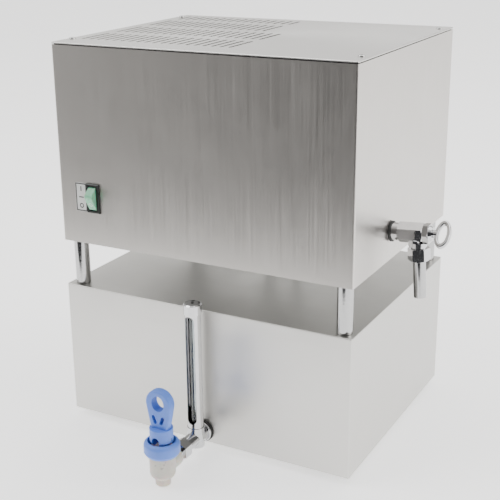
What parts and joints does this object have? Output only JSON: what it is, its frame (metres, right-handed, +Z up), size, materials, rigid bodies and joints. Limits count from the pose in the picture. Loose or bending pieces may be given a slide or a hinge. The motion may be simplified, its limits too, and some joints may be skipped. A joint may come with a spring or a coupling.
{
  "type": "countertop water distiller",
  "caption": "Stainless countertop water distiller: vented boiler and condenser unit on tube legs over a storage tank with sight gauge and spring tap.",
  "frame": {"origin": "centre of the storage tank's footprint, on the surface that its rubber feet stand on", "axes": "+Z up, -Y towards the tap at the front, +X towards the drain valve side"},
  "size_m": [0.3975, 0.3701, 0.4238],
  "materials": {
    "case_steel": "brushed stainless sheet",
    "tank_steel": "satin stainless sheet",
    "lid_steel": "satin stainless sheet",
    "inner_steel": "mill finish stainless",
    "leg_chrome": "polished tube",
    "chrome": "polished chrome plate",
    "screw_steel": "bright steel",
    "blue_plastic": "moulded, soft gloss",
    "spout_plastic": "translucent natural plastic",
    "black_rubber": "matt",
    "silicone": "translucent silicone",
    "gauge_glass": "clear glass tube",
    "switch_black": "semi gloss",
    "rocker_green": "translucent green",
    "plate_white": "printed white film with black border",
    "black_plastic": "moulded",
    "brass": "turned",
    "copper_coil": "tinned tube",
    "fin_aluminium": "mill finish fins",
    "fan_frame": "black coated casting",
    "foam": "foam strip"
  },
  "bodies": {
    "tank": {"tank_feet": "black_rubber", "tank_shell": "tank_steel", "tank_cover": "tank_steel", "tap_washers": "black_rubber", "tap_locknut": "chrome", "tap_shank": "chrome", "tap_body": "spout_plastic", "tap_collar": "blue_plastic", "gauge_glass": "gauge_glass", "gauge_seals": "black_rubber", "gauge_shield": "chrome", "gauge_cap": "chrome"},
    "upper_unit": {"case_wrap": "case_steel", "case_back": "case_steel", "floor_pan": "inner_steel", "lid_seal": "foam", "vented_lid": "lid_steel", "lid_screws": "screw_steel", "legs": "leg_chrome", "leg_tips": "black_rubber", "leg_screws": "screw_steel", "switch_bezel": "switch_black", "switch_plate": "plate_white", "boiler_tank": "inner_steel", "boiler_gasket": "silicone", "boiler_lid": "inner_steel", "boiler_screws": "screw_steel", "boiler_brackets": "inner_steel", "heating_element": "inner_steel", "element_nuts": "brass", "limit_thermostat": "black_plastic", "splash_baffle": "inner_steel", "steam_tube": "inner_steel", "condenser_coil": "inner_steel", "condenser_fins": "fin_aluminium", "condenser_brackets": "inner_steel", "condensate_tube": "inner_steel", "tube_grommet": "silicone", "fan_frame": "fan_frame", "fan_screws": "screw_steel", "power_inlet": "black_plastic", "inlet_screws": "screw_steel", "terminal_block": "black_plastic", "float_rod": "inner_steel", "float_stop": "inner_steel", "drain_locknut": "chrome", "drain_washer": "black_rubber", "drain_body": "chrome", "drain_bonnet": "chrome", "drain_nut": "chrome", "drain_tube": "leg_chrome"},
    "tap_valve": {"tap_stem": "blue_plastic", "tap_seat_cup": "silicone", "tap_spring": "screw_steel", "tap_pin": "screw_steel"},
    "tap_lever": {"tap_handle": "blue_plastic"},
    "rocker": {"switch_rocker": "rocker_green"},
    "drain_key": {"drain_stem": "chrome"},
    "fan_wheel": {"fan_rotor": "black_plastic"},
    "level_float": {"level_float": "inner_steel"}
  },
  "joints": [
    {"name": "unit_lift", "type": "slide", "parent": "tank", "child": "upper_unit", "axis": [0, 0, 1], "range_m": [0, 0.15]},
    {"name": "tap_lift", "type": "slide", "parent": "tank", "child": "tap_valve", "axis": [0, 0, 1], "range_m": [0, 0.0032]},
    {"name": "tap_tilt", "type": "hinge", "parent": "tap_valve", "child": "tap_lever", "pos_m": [0.002, -0.214, 0.054], "axis": [1, 0, 0], "range_deg": [0, 45], "stiffness_Nm_per_rad": 0.05, "springref_deg": -17.19},
    {"name": "rocker_tilt", "type": "hinge", "parent": "upper_unit", "child": "rocker", "pos_m": [-0.12525, -0.13, 0.26175], "axis": [1, 0, 0], "range_deg": [-12, 12]},
    {"name": "drain_turn", "type": "hinge", "parent": "upper_unit", "child": "drain_key", "pos_m": [0.168, -0.039, 0.241], "axis": [0.9976, 0, 0.0698], "range_deg": [0, 90]},
    {"name": "fan_spin", "type": "hinge", "parent": "upper_unit", "child": "fan_wheel", "pos_m": [-0.07, -0.015, 0.225], "axis": [0, 0, 1], "continuous": true},
    {"name": "float_rise", "type": "slide", "parent": "upper_unit", "child": "level_float", "axis": [0, 0, 1], "range_m": [0, 0.02]}
  ],
  "couplings": [
    {"joint": "tap_tilt", "follows": "tap_lift", "rad_per_m": 245}
  ]
}
